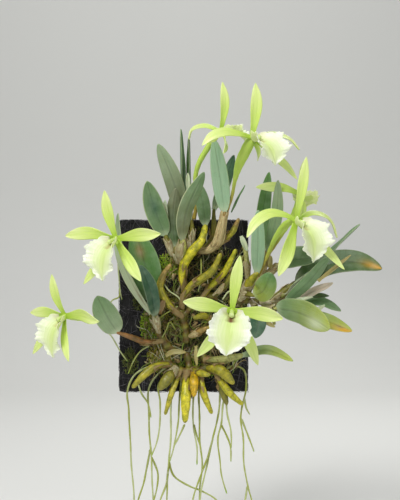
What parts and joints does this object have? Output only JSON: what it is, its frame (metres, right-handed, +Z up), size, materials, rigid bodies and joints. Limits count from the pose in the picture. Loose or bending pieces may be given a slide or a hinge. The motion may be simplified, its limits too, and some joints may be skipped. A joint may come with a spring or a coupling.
{
  "type": "rhyncholaelia glauca orchid on hanging tree-fern slab",
  "caption": "Orchid in flower, mounted on a hanging slab of tree-fern fibre: grey-green leaves, yellow pseudobulbs, lime-green flowers with frilled white lips, long aerial roots.",
  "frame": {"origin": "middle of the slab's flat back face, where it hangs against a wall", "axes": "+X to the right seen from the front, +Y into the wall, +Z up; flowers face -Y"},
  "size_m": [0.3974, 0.1651, 0.5256],
  "materials": {
    "tree_fern": "coarse black fibre",
    "wire": "dull galvanised",
    "pseudobulb": "waxy, satin",
    "leaf": "leathery, glaucous bloom",
    "tepal": "fleshy, satin",
    "lip": "crystalline, satin",
    "aerial_root": "velvety, matte"
  },
  "bodies": {
    "root": {"slab": "tree_fern", "hanger": "wire", "bulbs_upper": "pseudobulb", "bulbs_middle": "pseudobulb", "bulbs_left": "pseudobulb", "bulbs_right": "pseudobulb", "bulbs_lower": "pseudobulb", "leaf_top_1": "leaf", "leaf_top_2": "leaf", "leaf_top_3": "leaf", "leaf_top_4": "leaf", "leaf_top_5": "leaf", "leaf_top_6": "leaf", "leaf_top_7": "leaf", "leaf_top_8": "leaf", "leaf_top_9": "leaf", "leaf_left_1": "leaf", "leaf_left_2": "leaf", "leaf_left_3": "leaf", "leaf_left_4": "leaf", "leaf_right_1": "leaf", "leaf_right_2": "leaf", "leaf_right_3": "leaf", "leaf_right_4": "leaf", "leaf_right_5": "leaf", "leaf_right_6": "leaf", "leaf_right_7": "leaf", "leaf_right_8": "leaf", "leaf_right_9": "leaf", "leaf_right_10": "leaf", "leaf_right_11": "leaf", "leaf_right_12": "leaf", "leaf_right_13": "leaf", "leaf_right_14": "leaf", "leaf_right_15": "leaf", "flower_left_low": "tepal", "flower_left_low_lip": "lip", "flower_left_high": "tepal", "flower_left_high_lip": "lip", "flower_top_left": "tepal", "flower_top_left_lip": "lip", "flower_top_right": "tepal", "flower_top_right_lip": "lip", "flower_right_high": "tepal", "flower_right_high_lip": "lip", "flower_right_low": "tepal", "flower_right_low_lip": "lip", "flower_front": "tepal", "flower_front_lip": "lip", "roots_1": "aerial_root", "roots_2": "aerial_root", "roots_3": "aerial_root", "roots_4": "aerial_root", "roots_5": "aerial_root", "roots_6": "aerial_root", "roots_7": "aerial_root"}
  },
  "joints": []
}
